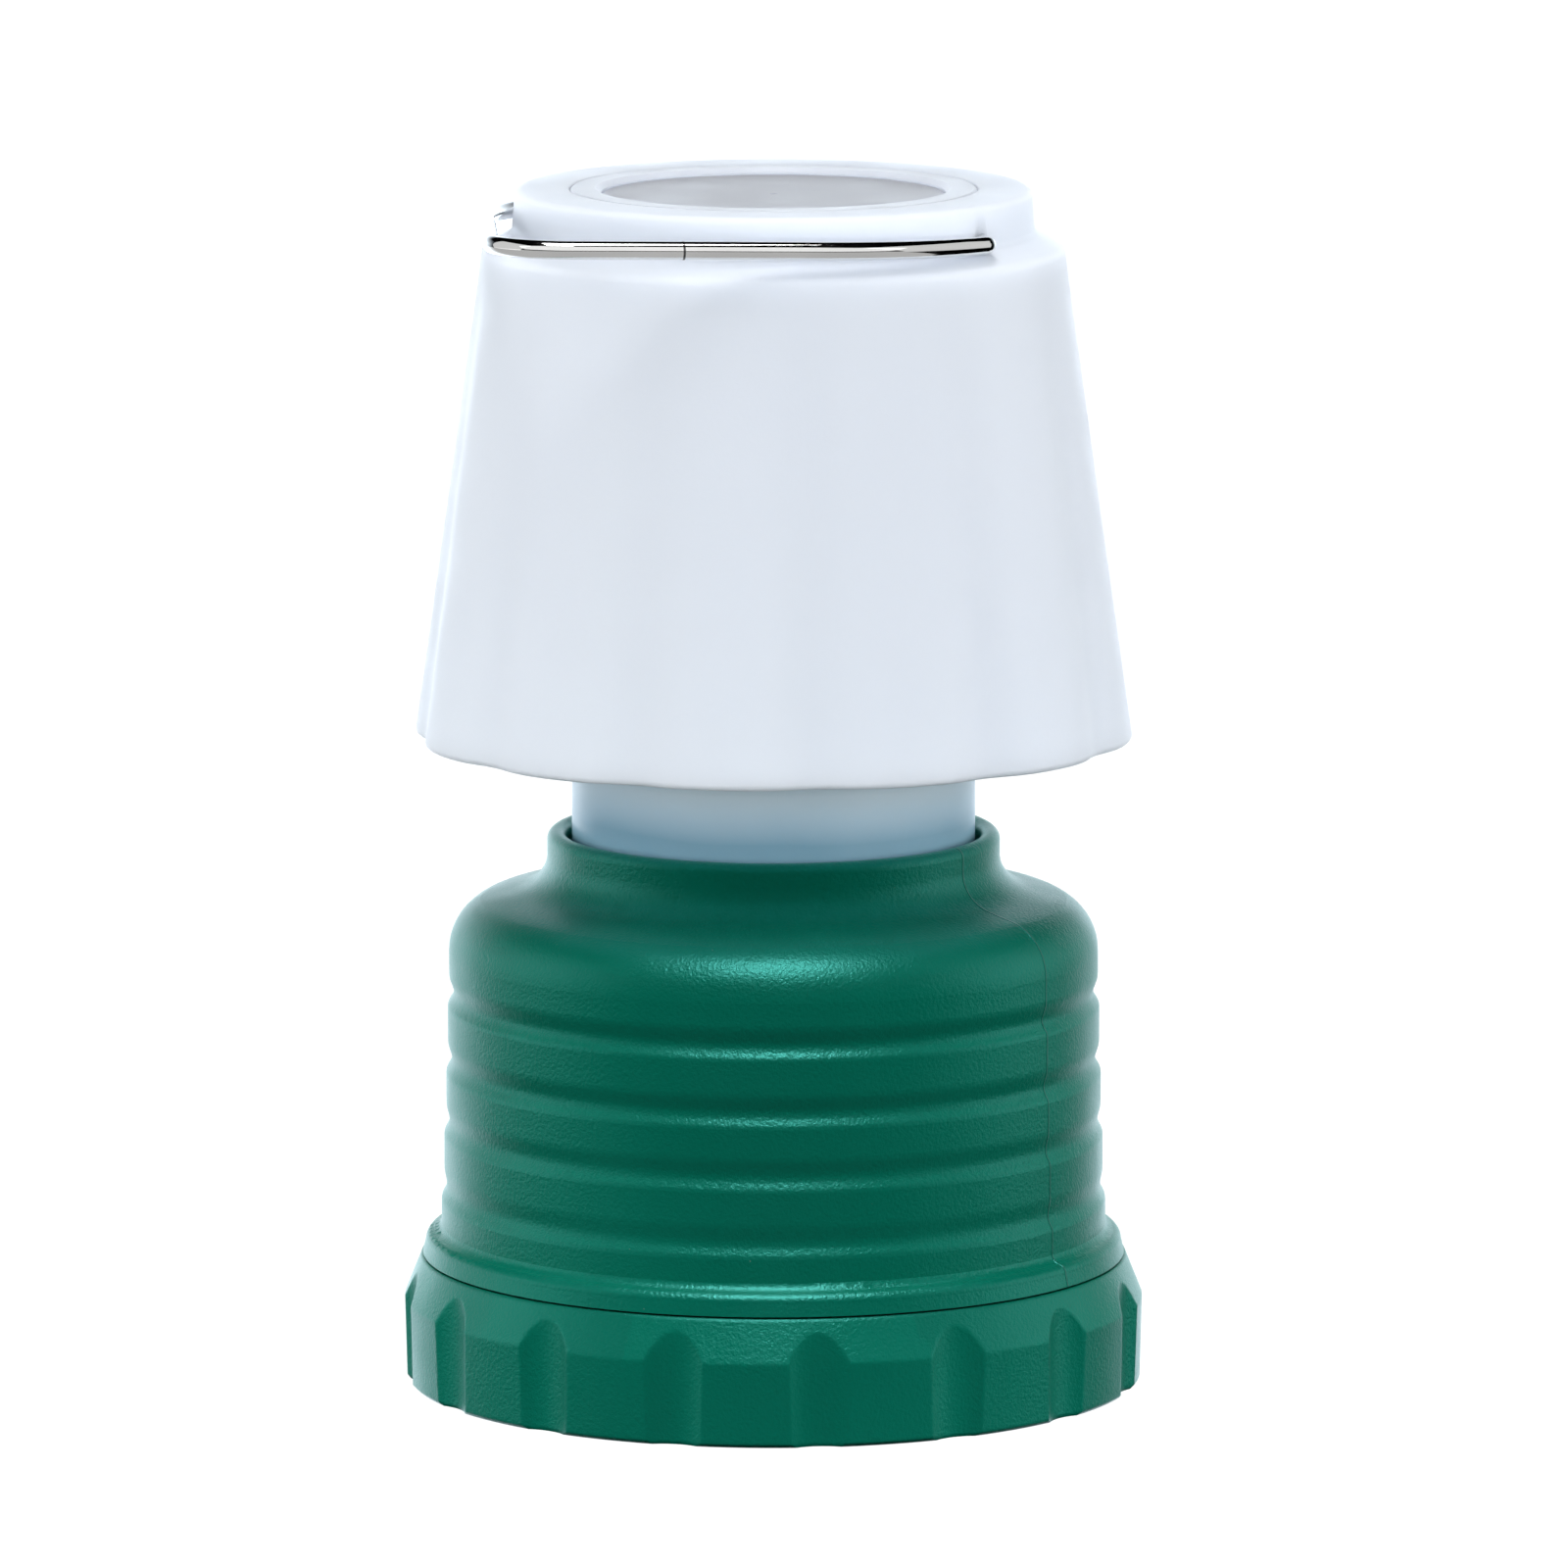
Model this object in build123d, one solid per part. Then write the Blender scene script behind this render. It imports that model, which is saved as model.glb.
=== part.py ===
from build123d import *
import os
from math import asin, atan2, cos, degrees, radians, sin

# Camping lantern, millimetres. The origin is the centre of the base's underside, +Z is up,
# X is the bail's pivot axis, and the power button faces -Y. The bail is folded towards +Y.

# ---- driving dimensions ----
# D cells, two nub up and one nub down
CELL_R = 16.8
CELL_LENGTH = 60.8
CELL_CIRCLE_R = 20.4         # the cells' axes stand on this circle
CELL_ANGLES = (90, 210, 330)
BETWEEN_CELLS = (30, 150, 270)
NUB_R = 4.75
NUB_HEIGHT = 1.5

# fluted cover ring with its floor
BASE_R = 53.0
COVER_TOP_Z = 18.0
COVER_TOP_R = 50.6
CHAMFER_Z = 12.0             # the ring's wall draws in above this
FLOOR_Z = 3.0
FOOT_RECESS = (30.0, 45.0, 0.8)
COVER_BORE_R = 48.8
SEAL_SEAT = (49.75, 15.9)
FLUTES = 16
FLUTE_R = 7.0
FLUTE_FLOOR_R = 51.35
RING_EDGE_R = 0.45

# screw thread between cover and housing, right-hand, one start
THREAD_PITCH = 4.0
THREAD_TURNS = 2.0
THREAD_HEIGHT = 1.1
THREAD_ROOT_WIDTH = 1.8
THREAD_CREST_WIDTH = 1.0
THREAD_START_Z = 6.0
THREAD_EMBED = 0.4
SKIRT_R = 47.4               # threaded skirt of the housing, inside the cover
SKIRT_BORE_R = 45.2
SKIRT_BOTTOM_Z = 3.4
SEAL_Z, SEAL_RING_R, SEAL_CORD_R = 16.95, 48.6, 1.0

# housing
BORE_R = 43.4
WALL_Z = (22.6, 62.2)        # ribbed wall, outside
LAND_RADII = (47.68, 47.27, 46.96, 46.71, 46.5)     # plain stretches of the wall, bottom to top
GROOVES = ((28.0, 46.92), (37.4, 46.5), (46.4, 46.12), (56.0, 45.82))    # height and floor radius
GROOVE_BELOW = 2.1
GROOVE_ABOVE = 3.0
SHOULDER_R = 8.0
SHOULDER_TURN = 64.0
COLLAR_R = 32.4
COLLAR_FOOT_Z = 76.0
COLLAR_TOP_Z = 79.6
COLLAR_BORE_R = 29.6
LEDGE_Z = 74.9
LEDGE_BORE_R = 31.5
KEY_WIDTH = 3.0

# battery carrier and contacts
BARREL_BORE_R = CELL_R + 0.35
BARREL_WALL = 1.2
BARREL_Z = (9.0, 63.0)
CARRIER_FLANGE_Z = (59.5, 61.8)
CARRIER_FLANGE_R = 42.9
CARRIER_SCREW_R = 40.2
DECK_POST_R = 24.0
TRAY_Z = (3.3, 5.5)          # contact tray under the cells
TRAY_R = 44.6
PLATE = 0.4
LOWER_PLATE_TOP = TRAY_Z[1] + PLATE
DECK_Z = (69.2, 71.2)
DECK_R = 31.2
UPPER_PLATE_Z = DECK_Z[0] - PLATE
SPRING_WIRE_R = 0.35
SPRING_COIL_R = 6.0
SPRING_TURNS = 2.0
RETURN_STRIP_X = -36.0
BRIDGE_WIDTH = 5.0

# driver board and light source
BOARD_Z = 72.6
BOARD_THICKNESS = 1.6
BOARD_TOP = BOARD_Z + BOARD_THICKNESS
BOARD_R = 25.0
DECK_BOSS_CIRCLE_R = 20.5
SINK_TOP_Z = 88.0
SINK_FINS = 24
LEAD_X = 4.2
LEAD_Y = -24.0
LEAD_R = 0.6

# power button
BUTTON_Z = 44.0
BUTTON_R = 8.2
BUTTON_FACE_Y = -50.0
BUTTON_FLANGE_R = 9.0
BEZEL_R = 10.42
BEZEL_SEAT_Y = -47.1
BUTTON_PAD_R = 12.0
SWITCH_POST_Z = (BUTTON_Z - 11.3, BUTTON_Z + 11.3)
SWITCH_BOARD_Y = (-35.25, -33.65)
PLUNGER_R = 1.7

# globe, shade and cap
GLOBE_R = 28.85
GLOBE_WALL = 1.8
GLOBE_TOP_Z = 167.9
GLOBE_FLANGE_R = 31.2
GLOBE_FLANGE_Z = (72.9, 74.2)
SHADE_BOTTOM_Z = 93.0
SHADE_BOTTOM_R = 51.45
SHADE_TOP_Z = 162.0
SHADE_TOP_R = 41.6
SHADE_WALL = 2.0
PLEATS = 12
PLEAT_DEPTH = 1.2
PLEAT_ANGLE = 15.0           # the first valley
PLEAT_VALLEY_R = 7.0
NECK_R = 36.75
NECK_BORE_R = 34.6
TOP_Z = 171.8
SHADE_LIP_R = 27.3
SHADE_LIP_Z = (168.05, 169.3)
CAP_R = 28.9
CAP_SKIRT_BORE_R = 25.2
CAP_SCREW_Z = 163.3
RECESS_R = 24.5
RECESS_Z = 170.25
REFLECTOR_R = 25.1

# bail
PIVOT_Z = 166.5
WIRE_R = 1.3
BAIL_ARC_R = 39.3
BAIL_APEX_Y = 58.0
BAIL_APEX_R = 9.5
BAIL_ELBOW_R = 2.5
BAIL_END_X = 31.0
BAIL_TILT = 2.1              # degrees, apex above the pivot when folded
CLIP_X = (31.1, 31.5)
CLIP_R = 2.4

RUN = 0.05                   # radial clearance of a running fit
GAP = 0.3                    # clearance between parts that only pass each other


# ---- small helpers ----
def revolved(points):
    """Solid of revolution about Z from an outline of (radius, z) points."""
    face = make_face(Plane.XZ * Polyline(*points, close=True))
    return revolve(face, Axis.Z)


def disc(radius, z0, z1, x=0.0, y=0.0):
    """Upright cylinder from z0 to z1."""
    return Pos(x, y, (z0 + z1) / 2) * Cylinder(radius, z1 - z0)


def ring(inner, outer, z0, z1, x=0.0, y=0.0):
    """Upright tube from z0 to z1."""
    return disc(outer, z0, z1, x, y) - disc(inner, z0 - 1, z1 + 1, x, y)


def polar(radius, angle):
    """X and Y of a point at a radius and an angle in degrees."""
    return radius * cos(radians(angle)), radius * sin(radians(angle))


def rod_y(radius, y0, y1, x=0.0, z=0.0):
    """Cylinder along Y."""
    return Pos(x, (y0 + y1) / 2, z) * Rot(90, 0, 0) * Cylinder(radius, y1 - y0)


def rod_x(radius, x0, x1, y=0.0, z=0.0):
    """Cylinder along X."""
    return Pos((x0 + x1) / 2, y, z) * Rot(0, 90, 0) * Cylinder(radius, x1 - x0)


def block(x, y, z):
    """Box between pairs of limits."""
    size = [pair[1] - pair[0] for pair in (x, y, z)]
    return Pos(*[(pair[0] + pair[1]) / 2 for pair in (x, y, z)]) * Box(*size)


def around(part, angles):
    """Copies of a part turned about Z."""
    return [Rot(0, 0, angle) * part for angle in angles]


def joined(parts):
    """Fuse a list of parts."""
    total = parts[0]
    for part in parts[1:]:
        total = total + part
    return total


def cell_centres():
    return [polar(CELL_CIRCLE_R, angle) for angle in CELL_ANGLES]


def thread_ridge(wall_r, crest_r, start_z):
    """Right-hand helical ridge that stands from a wall to its crest radius."""
    root_r = wall_r - (THREAD_EMBED if crest_r > wall_r else -THREAD_EMBED)
    helix = Helix(THREAD_PITCH, THREAD_PITCH * THREAD_TURNS, root_r, center=(0, 0, start_z))
    half_root, half_crest = THREAD_ROOT_WIDTH / 2, THREAD_CREST_WIDTH / 2
    reach = crest_r - root_r
    section = Plane(origin=helix @ 0, x_dir=(1, 0, 0), z_dir=(0, -1, 0)) * Polyline(
        (0, -half_root), (reach, -half_crest), (reach, half_crest), (0, half_root), close=True
    )
    return sweep(make_face(section), path=helix, is_frenet=True)


def coil_spring(wire_r, coil_r, z0, z1, turns, x, y):
    """Round-wire compression spring whose wire stays between z0 and z1."""
    height = z1 - z0 - 2 * wire_r
    helix = Helix(height / turns, height, coil_r)
    section = Plane(origin=helix @ 0, z_dir=helix % 0) * Circle(wire_r)
    return Pos(x, y, z0 + wire_r) * sweep(section, path=helix, is_frenet=True)


def pan_screw(head_r, head_h, shank_r, shank_l):
    """Pan-head screw along Z: the head's underside is at z = 0 and the shank points up."""
    head = Pos(0, 0, -head_h / 2) * Cylinder(head_r, head_h)
    head = fillet(head.edges().group_by(Axis.Z)[0], head_h * 0.4)
    cross = Pos(0, 0, -head_h) * (Box(head_r * 1.1, 0.6, head_h) + Box(0.6, head_r * 1.1, head_h))
    return head + Pos(0, 0, shank_l / 2) * Cylinder(shank_r, shank_l) - cross


# ---- base ----
def fluted_ring():
    """Outside of the cover: drafted wall, chamfered top and flutes with slightly rounded edges."""
    ring_body = revolved([
        (0, 0), (52.2, 0), (52.7, 0.5), (BASE_R, CHAMFER_Z), (COVER_TOP_R, COVER_TOP_Z), (0, COVER_TOP_Z),
    ])
    flute = disc(FLUTE_R, -1, COVER_TOP_Z + 1, FLUTE_FLOOR_R + FLUTE_R)
    for cutter in around(flute, [360 / FLUTES * k for k in range(FLUTES)]):
        ring_body = ring_body - cutter
    edges = ring_body.edges().filter_by_position(Axis.Z, 0.9, COVER_TOP_Z - 0.1)
    return fillet(edges, RING_EDGE_R)


def battery_cover():
    inside = disc(COVER_BORE_R, FLOOR_Z, COVER_TOP_Z + 1)
    seal_seat = disc(SEAL_SEAT[0], SEAL_SEAT[1], COVER_TOP_Z + 1)
    foot_recess = ring(FOOT_RECESS[0], FOOT_RECESS[1], -1, FOOT_RECESS[2])
    cup = fluted_ring() - inside - seal_seat - foot_recess
    female_z = THREAD_START_Z - THREAD_PITCH / 2
    return cup + thread_ridge(COVER_BORE_R, COVER_BORE_R - THREAD_HEIGHT, female_z)


def groove_edge(z, floor, below, above):
    """One soft groove around the housing, steep below its deepest line and gentler above it."""
    return Spline((below, z - GROOVE_BELOW), ((below + floor) / 2, z - GROOVE_BELOW / 2), (floor, z),
                  ((floor + above) / 2, z + GROOVE_ABOVE / 2), (above, z + GROOVE_ABOVE),
                  tangents=((0, 1), (0, 1)))


def ribbed_wall():
    """Plain stretches and grooves of the wall, from the cove up to the shoulder."""
    edges = []
    last = (LAND_RADII[0], WALL_Z[0])
    for (z, floor), below, above in zip(GROOVES, LAND_RADII, LAND_RADII[1:]):
        groove = groove_edge(z, floor, below, above)
        edges += [Line(last, groove @ 0), groove]
        last = groove @ 1
    return edges + [Line(last, (LAND_RADII[-1], WALL_Z[1]))]


def housing_outer_edges():
    """Outer profile in the XZ plane, from the foot up over the collar's rim."""
    foot = (50.35, COVER_TOP_Z + GAP)
    bead_low, bead_mid, bead_top = (49.95, 20.1), (49.62, 20.98), (48.85, 21.45)
    cove_mid, cove_end = (48.05, 21.9), (LAND_RADII[0], WALL_Z[0])
    shoulder_centre = Vector(LAND_RADII[-1] - SHOULDER_R, WALL_Z[1])

    def on_shoulder(angle):
        return shoulder_centre + Vector(*polar(SHOULDER_R, angle))

    neck = [on_shoulder(SHOULDER_TURN), (40.0, 70.05), (38.2, 70.5), (36.2, 71.1), (34.3, 72.2),
            (33.0, 73.8), (COLLAR_R, COLLAR_FOOT_Z)]
    rim_r = (COLLAR_R - COLLAR_BORE_R) / 2
    rim_z = COLLAR_TOP_Z - rim_r
    leaving = polar(1.0, SHOULDER_TURN + 90)
    return [
        Line((SKIRT_R, foot[1]), foot),
        Line(foot, bead_low),
        ThreePointArc(bead_low, bead_mid, bead_top),
        ThreePointArc(bead_top, cove_mid, cove_end),
    ] + ribbed_wall() + [
        ThreePointArc(on_shoulder(0), on_shoulder(SHOULDER_TURN / 2), on_shoulder(SHOULDER_TURN)),
        Spline(*neck, tangents=(leaving, (0, 1))),
        Line((COLLAR_R, COLLAR_FOOT_Z), (COLLAR_R, rim_z)),
        ThreePointArc((COLLAR_R, rim_z), (COLLAR_R - rim_r, COLLAR_TOP_Z), (COLLAR_BORE_R, rim_z)),
    ]


def housing_shell():
    """Turned wall of the housing with its male thread."""
    outer = housing_outer_edges()
    inner = [
        outer[-1] @ 1, (COLLAR_BORE_R, LEDGE_Z), (LEDGE_BORE_R, LEDGE_Z), (LEDGE_BORE_R, 71.2), (34.5, 70.1),
        (38.3, 68.3), (41.0, 66.4), (42.8, 63.8), (BORE_R, 61.0), (BORE_R, 19.5), (SKIRT_BORE_R, 17.5),
        (SKIRT_BORE_R, SKIRT_BOTTOM_Z), (46.9, SKIRT_BOTTOM_Z), (SKIRT_R, 3.9), outer[0] @ 0,
    ]
    section = make_face(Plane.XZ * Curve(outer + [Polyline(*inner)]))
    return revolve(section, Axis.Z) + thread_ridge(SKIRT_R, SKIRT_R + THREAD_HEIGHT, THREAD_START_Z)


def carrier_bosses():
    """Screw bosses in the shoulder, trimmed to stay inside the wall."""
    inside_wall = revolved([(0, 55), (45.5, 55), (45.5, 62.2), (44, 66), (40, 68.6), (0, 68.6)])
    boss = disc(2.7, CARRIER_FLANGE_Z[1] + 0.2, 70.6, CARRIER_SCREW_R)
    return [column & inside_wall for column in around(boss, BETWEEN_CELLS)]


def with_button_seat(shell):
    """Thick pad with the button's hole, the bezel's seat and the two posts of the switch board."""
    shell = shell + rod_y(BUTTON_PAD_R, -48.6, -42.6, z=BUTTON_Z)
    shell = shell - rod_y(BEZEL_R + 0.08, -50.0, BEZEL_SEAT_Y, z=BUTTON_Z)
    shell = shell - rod_y(BUTTON_R + RUN, -50, -40, z=BUTTON_Z)
    for z in SWITCH_POST_Z:
        shell = shell + rod_y(2.0, -44.0, SWITCH_BOARD_Y[0] - 0.35, z=z) - rod_y(0.95, -41.5, -35.0, z=z)
    return shell


def body_housing():
    key = block((SKIRT_BORE_R - 1.6, SKIRT_BORE_R + 0.6), (-KEY_WIDTH / 2, KEY_WIDTH / 2),
                (SKIRT_BOTTOM_Z + 0.2, 17.0))
    shell = joined([housing_shell()] + around(key, BETWEEN_CELLS) + carrier_bosses())
    for hole in around(disc(1.45, 60.0, 66.0, CARRIER_SCREW_R), BETWEEN_CELLS):
        shell = shell - hole
    return with_button_seat(shell)


def cover_seal():
    return Pos(0, 0, SEAL_Z) * Torus(SEAL_RING_R, SEAL_CORD_R)


def contact_disc():
    """Tray under the cells, keyed to the housing so that it slides without turning."""
    plate = disc(TRAY_R, *TRAY_Z)
    slot_half = KEY_WIDTH / 2 + 0.5
    notch = block((SKIRT_BORE_R - 2.1, 50), (-slot_half, slot_half), (0, 10))
    for cutter in around(notch, BETWEEN_CELLS):
        plate = plate - cutter
    hub = disc(3.0, TRAY_Z[1], 8.5)
    return plate + hub - disc(1.2, 0, 20)


def strip_between(first, second, z0, z1):
    """Flat strip that bridges two contact pads."""
    span = Vector(*second) - Vector(*first)
    middle = Vector(*first) + span * 0.5
    turn = degrees(atan2(span.Y, span.X))
    return Pos(middle.X, middle.Y, (z0 + z1) / 2) * Rot(0, 0, turn) * Box(span.length, BRIDGE_WIDTH, z1 - z0)


def lower_contacts():
    """Pads under the cells: cells 1 and 2 are bridged."""
    centres = cell_centres()
    pads = [disc(9.5, TRAY_Z[1], LOWER_PLATE_TOP, x, y) for x, y in centres]
    bridge = strip_between(centres[0], centres[1], TRAY_Z[1], LOWER_PLATE_TOP)
    return [pads[0] + bridge + pads[1], pads[2]]


def contact_spring(centre, z0, z1):
    return coil_spring(SPRING_WIRE_R, SPRING_COIL_R, z0, z1, SPRING_TURNS, *centre)


def lower_springs():
    """Springs under the flat ends of cells 1 and 3."""
    flat_end = UPPER_PLATE_Z - CELL_LENGTH
    return [contact_spring(cell_centres()[index], LOWER_PLATE_TOP, flat_end) for index in (0, 2)]


# ---- inside the housing ----
def d_cell(index):
    """Cells 1 and 3 stand with the nub up, cell 2 with the nub down."""
    can = CELL_LENGTH - NUB_HEIGHT
    outline = [(0, 0), (11.5, 0), (12.0, 0.3), (CELL_R - 1.2, 0.3), (CELL_R, 1.4), (CELL_R, can - 1.4),
               (CELL_R - 1.0, can), (NUB_R + 1.2, can - 0.3), (NUB_R, can), (NUB_R, CELL_LENGTH - 0.5),
               (NUB_R - 0.5, CELL_LENGTH), (0, CELL_LENGTH)]
    x, y = cell_centres()[index]
    cell = revolved(outline)
    if index == 1:
        return Pos(x, y, LOWER_PLATE_TOP + CELL_LENGTH) * Rot(180, 0, 0) * cell
    return Pos(x, y, UPPER_PLATE_Z - CELL_LENGTH) * cell


def battery_carrier():
    """Three barrels on two flanges, with posts that hold the contact deck."""
    outer_r = BARREL_BORE_R + BARREL_WALL
    tubes = [disc(outer_r, *BARREL_Z, x, y) for x, y in cell_centres()]
    frame = joined(tubes + [disc(CARRIER_FLANGE_R - 0.2, 12, 14), disc(CARRIER_FLANGE_R, *CARRIER_FLANGE_Z)])
    post = disc(2.2, CARRIER_FLANGE_Z[0], DECK_Z[0] - 0.05, DECK_POST_R)
    frame = joined([frame] + around(post, BETWEEN_CELLS))
    for x, y in cell_centres():
        frame = frame - disc(BARREL_BORE_R, 0, 80, x, y)
    for hole in around(disc(1.6, 50, 62, CARRIER_SCREW_R), BETWEEN_CELLS):
        frame = frame - hole
    for x in (-LEAD_X, LEAD_X):
        frame = frame - disc(1.0, 58, 63, x, LEAD_Y)
    return frame - block((RETURN_STRIP_X - 0.6, RETURN_STRIP_X + 1.0), (-3.0, 3.0), (8, 66))


def carrier_screws():
    head_z = CARRIER_FLANGE_Z[0] - 0.05
    screw = Pos(CARRIER_SCREW_R, 0, head_z) * pan_screw(2.6, 1.8, 1.4, 6.0)
    return around(screw, BETWEEN_CELLS)


def return_strip():
    """Strip that runs up beside the barrels and turns in under the deck."""
    top = DECK_Z[0] - 0.02
    upright = block((RETURN_STRIP_X, RETURN_STRIP_X + PLATE), (-2.0, 2.0), (BARREL_Z[0], top))
    leg = block((RETURN_STRIP_X, -28.4), (-2.0, 2.0), (UPPER_PLATE_Z, top))
    return upright + leg


def deck_bosses():
    return [polar(DECK_BOSS_CIRCLE_R, angle) for angle in CELL_ANGLES]


def contact_deck():
    deck = disc(DECK_R, *DECK_Z) + ring(28.9, DECK_R, DECK_Z[1], GLOBE_FLANGE_Z[0] - 0.05)
    for x, y in deck_bosses():
        deck = deck + disc(2.6, DECK_Z[1], BOARD_Z, x, y)
        deck = deck - disc(1.2, DECK_Z[0] - 1, 80, x, y)
    for x in (-LEAD_X, LEAD_X):
        deck = deck - disc(1.0, 68, 80, x, LEAD_Y)
    return deck


def upper_contacts():
    """Pads above the cells: cells 2 and 3 are bridged."""
    top = DECK_Z[0] - 0.02
    centres = cell_centres()
    pads = [disc(7.4, UPPER_PLATE_Z, top, x, y) for x, y in centres]
    return [pads[0], pads[1] + strip_between(centres[1], centres[2], UPPER_PLATE_Z, top) + pads[2]]


def upper_spring():
    return contact_spring(cell_centres()[1], LOWER_PLATE_TOP + CELL_LENGTH, UPPER_PLATE_Z)


def driver_board():
    board = disc(BOARD_R, BOARD_Z, BOARD_TOP)
    for x, y in deck_bosses():
        board = board - disc(1.6, 70, 80, x, y)
    return board


def driver_parts():
    """Inductor, capacitor, controller and three resistors on the board."""
    z = BOARD_TOP
    inductor = ring(2.0, 4.0, z, z + 3.2, 6.8, -4.6)
    capacitor = disc(2.6, z, z + 4.5, -7.2, -5.0)
    controller = block((-2.5, 2.5), (6.0, 10.0), (z, z + 1.4))
    resistors = [block((x, x + 1.2), (-12.5, -10.5), (z, z + 0.6)) for x in (-4, -1, 2)]
    return [inductor, capacitor, controller] + resistors


def heat_sink():
    """Finned, hollow pedestal that lifts the light source clear of the board."""
    flange_top = BOARD_TOP + 1.8
    body = ring(16.0, 24.0, BOARD_TOP, flange_top)
    body = body + revolved([(16.0, BOARD_TOP), (18.0, BOARD_TOP), (18.0, flange_top), (9.5, SINK_TOP_Z - 1),
                            (9.5, SINK_TOP_Z), (0, SINK_TOP_Z), (0, 85.5), (7.8, 85.5)])
    fin = block((9.0, 13.5), (-0.5, 0.5), (79.5, SINK_TOP_Z))
    fin_limit = revolved([(13.6, 79.0), (30, 79.0), (30, 90), (12.2, 90)])
    for blade in around(fin, [360 / SINK_FINS * k for k in range(SINK_FINS)]):
        body = body + (blade - fin_limit)
    for x, y in deck_bosses():
        body = body - disc(1.6, 70, 80, x, y)
    return body


def pedestal_screws():
    screw = Pos(DECK_BOSS_CIRCLE_R, 0, BOARD_TOP + 1.85) * Rot(180, 0, 0) * pan_screw(2.5, 1.6, 1.15, 5.4)
    return around(screw, CELL_ANGLES)


def led_board():
    return disc(8.8, SINK_TOP_Z + 0.02, SINK_TOP_Z + 1.4)


def led_chip():
    """Square base with a clear half dome."""
    foot_z = SINK_TOP_Z + 1.42
    base = block((-2.5, 2.5), (-2.5, 2.5), (foot_z, foot_z + 1.0))
    dome = Pos(0, 0, foot_z + 1.0) * Sphere(1.9) & block((-3, 3), (-3, 3), (foot_z + 0.6, 94.0))
    return base + dome


# ---- power button ----
def button_bezel():
    bezel = rod_y(BEZEL_R, -49.0, BEZEL_SEAT_Y - RUN, z=BUTTON_Z)
    bezel = fillet(bezel.edges().group_by(Axis.Y)[0], 0.8)
    return bezel - rod_y(BUTTON_R + 0.35, -60, -40, z=BUTTON_Z)


def power_button():
    """Round cap with a sunk power mark, held in by a flange behind the wall."""
    cap = rod_y(BUTTON_R, BUTTON_FACE_Y, -42.0, z=BUTTON_Z)
    cap = fillet(cap.edges().group_by(Axis.Y)[0], 1.4)
    flange = rod_y(BUTTON_FLANGE_R, -42.1, -41.2, z=BUTTON_Z)
    mark_y = (BUTTON_FACE_Y - 1, BUTTON_FACE_Y + 0.4)
    ring_mark = rod_y(3.6, *mark_y, z=BUTTON_Z) - rod_y(2.8, *mark_y, z=BUTTON_Z)
    ring_mark = ring_mark - block((-1.2, 1.2), mark_y, (BUTTON_Z, BUTTON_Z + 5))
    stroke = block((-0.4, 0.4), mark_y, (BUTTON_Z + 0.6, BUTTON_Z + 4.4))
    return cap + flange - ring_mark - stroke


def switch_plunger():
    return rod_y(PLUNGER_R, -41.15, -38.1, z=BUTTON_Z)


def switch_body():
    case = block((-4, 4), (-39.4, SWITCH_BOARD_Y[0] - RUN), (BUTTON_Z - 4, BUTTON_Z + 4))
    case = case + rod_y(3.0, -39.9, -39.3, z=BUTTON_Z)
    return case - rod_y(PLUNGER_R + RUN, -42, -36.2, z=BUTTON_Z)


def switch_board():
    board = block((-5.5, 5.5), SWITCH_BOARD_Y, (BUTTON_Z - 13.4, BUTTON_Z + 13.4))
    for z in SWITCH_POST_Z:
        board = board - rod_y(1.2, -37, -32, z=z)
    return board


def switch_screws():
    screw = Rot(90, 0, 0) * pan_screw(2.0, 1.3, 0.9, 6.0)
    return [Pos(0, SWITCH_BOARD_Y[1] + RUN, z) * screw for z in SWITCH_POST_Z]


def switch_leads():
    """Two short leads from the switch board up to the driver board."""
    leads = []
    for x in (-LEAD_X, LEAD_X):
        start_y = SWITCH_BOARD_Y[1] + 0.03
        path = FilletPolyline((x, start_y, 50), (x, LEAD_Y, 50), (x, LEAD_Y, BOARD_Z - 0.02), radius=4.0)
        section = Plane(origin=path @ 0, z_dir=path % 0) * Circle(LEAD_R)
        leads.append(sweep(section, path=path))
    return leads


# ---- globe, shade and cap ----
def globe():
    inner = GLOBE_R - GLOBE_WALL
    low, high = GLOBE_FLANGE_Z
    tube = revolved([(inner, low), (GLOBE_FLANGE_R, low), (GLOBE_FLANGE_R, high), (GLOBE_R, high),
                     (GLOBE_R, GLOBE_TOP_Z - 0.4), (GLOBE_R - 0.4, GLOBE_TOP_Z), (inner, GLOBE_TOP_Z)])
    for hole in around(rod_x(1.35, 25, 32, z=CAP_SCREW_Z), CELL_ANGLES):
        tube = tube - hole
    return tube


def globe_gasket():
    return ring(GLOBE_R + 0.25, GLOBE_FLANGE_R, GLOBE_FLANGE_Z[1], LEDGE_Z - 0.02)


def reflector():
    """Cone that hangs from the cap's skirt and throws the light outwards."""
    return revolved([(REFLECTOR_R, 161.8), (REFLECTOR_R, 163.0), (22.6, 163.0), (10.0, 152.0), (1.2, 143.4),
                     (0, 143.0), (0, 141.6), (1.6, 142.2), (11.0, 151.0), (23.4, 161.8)])


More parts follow.
